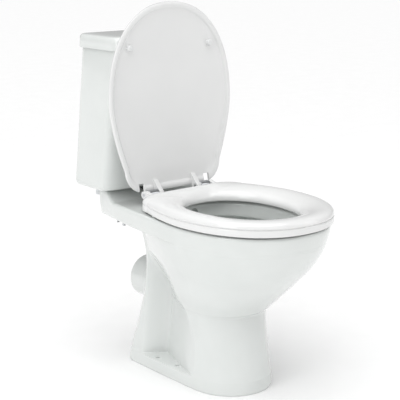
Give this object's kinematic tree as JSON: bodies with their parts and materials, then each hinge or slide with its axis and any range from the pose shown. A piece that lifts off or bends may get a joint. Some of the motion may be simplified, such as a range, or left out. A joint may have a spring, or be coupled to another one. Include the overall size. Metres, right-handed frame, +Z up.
{
  "type": "close coupled toilet",
  "caption": "Close coupled toilet: washdown pan with horizontal outlet and open back, tapered cistern with a divided flush button, and a hinged soft-close seat and cover.",
  "frame": {"origin": "on the floor, under the middle of the object's bounding box", "axes": "+Z up, -Y towards the front of the seat, +Y towards the wall, +X across to the user's left when seated"},
  "size_m": [0.36, 0.66, 0.8613],
  "materials": {
    "china": "white vitreous china with a clear glossy glaze",
    "seat_plastic": "glossy white duroplast",
    "buffer": "pale soft rubber",
    "rubber": "black rubber",
    "steel": "zinc-plated and stainless steel",
    "chrome": "polished chrome plating",
    "valve_white": "moulded white plastic",
    "valve_blue": "moulded blue plastic",
    "damper_grey": "moulded grey plastic",
    "dark_plastic": "moulded black plastic"
  },
  "bodies": {
    "toilet": {"pan": "china", "cistern": "china", "cistern_pads": "rubber", "coupling_seal": "rubber", "coupling_bolts": "steel", "bolt_seals": "rubber", "bolt_washers": "steel", "wing_nuts": "steel", "flush_valve_base": "valve_white", "flush_valve_backnut": "valve_white", "flush_valve_tower": "valve_blue", "fill_valve_body": "valve_white", "fill_valve_washer": "rubber", "fill_valve_nut": "dark_plastic", "hinge_post_left": "chrome", "hinge_post_right": "chrome", "hinge_pins": "steel", "hinge_dampers": "damper_grey", "hinge_bolts": "steel", "hinge_plugs": "rubber"},
    "tank_lid": {"cistern_lid": "china", "button_bezel": "chrome", "button_nut": "valve_white"},
    "full_key": {"full_flush_button": "chrome", "full_push_rod": "valve_white"},
    "half_key": {"half_flush_button": "chrome", "half_push_rod": "valve_white"},
    "seat": {"seat_ring": "seat_plastic", "ring_buffers": "buffer"},
    "seat_cover": {"seat_lid": "seat_plastic", "lid_buffers": "buffer"},
    "flush_lift": {"flush_valve_lift": "valve_white", "flush_valve_seal": "rubber"},
    "float": {"fill_valve_float": "valve_blue"},
    "float_lever": {"fill_valve_lever": "valve_white"}
  },
  "joints": [
    {"name": "tank_lid_lift", "type": "slide", "parent": "toilet", "child": "tank_lid", "axis": [0, 0, 1], "range_m": [0, 0.12]},
    {"name": "full_flush_press", "type": "slide", "parent": "tank_lid", "child": "full_key", "axis": [0, 0, -1], "range_m": [0, 0.006], "stiffness_N_per_m": 300, "springref_m": -0.006},
    {"name": "half_flush_press", "type": "slide", "parent": "tank_lid", "child": "half_key", "axis": [0, 0, -1], "range_m": [0, 0.006], "stiffness_N_per_m": 300, "springref_m": -0.006},
    {"name": "ring_hinge", "type": "hinge", "parent": "toilet", "child": "seat", "pos_m": [0, 0.106, 0.426], "axis": [-1, 0, 0], "range_deg": [0, 90]},
    {"name": "cover_hinge", "type": "hinge", "parent": "toilet", "child": "seat_cover", "pos_m": [0, 0.106, 0.426], "axis": [-1, 0, 0], "range_deg": [-92, 0]},
    {"name": "flush_valve_rise", "type": "slide", "parent": "toilet", "child": "flush_lift", "axis": [0, 0, 1], "range_m": [0, 0.012]},
    {"name": "float_rise", "type": "slide", "parent": "toilet", "child": "float", "axis": [0, 0, 1], "range_m": [0, 0.012]},
    {"name": "float_lever_turn", "type": "hinge", "parent": "toilet", "child": "float_lever", "pos_m": [-0.115, 0.285, 0.6895], "axis": [0, -1, 0], "range_deg": [0, 18]}
  ],
  "couplings": [
    {"joint": "flush_valve_rise", "follows": "full_flush_press", "ratio": 2},
    {"joint": "float_lever_turn", "follows": "float_rise", "rad_per_m": 25.641}
  ]
}
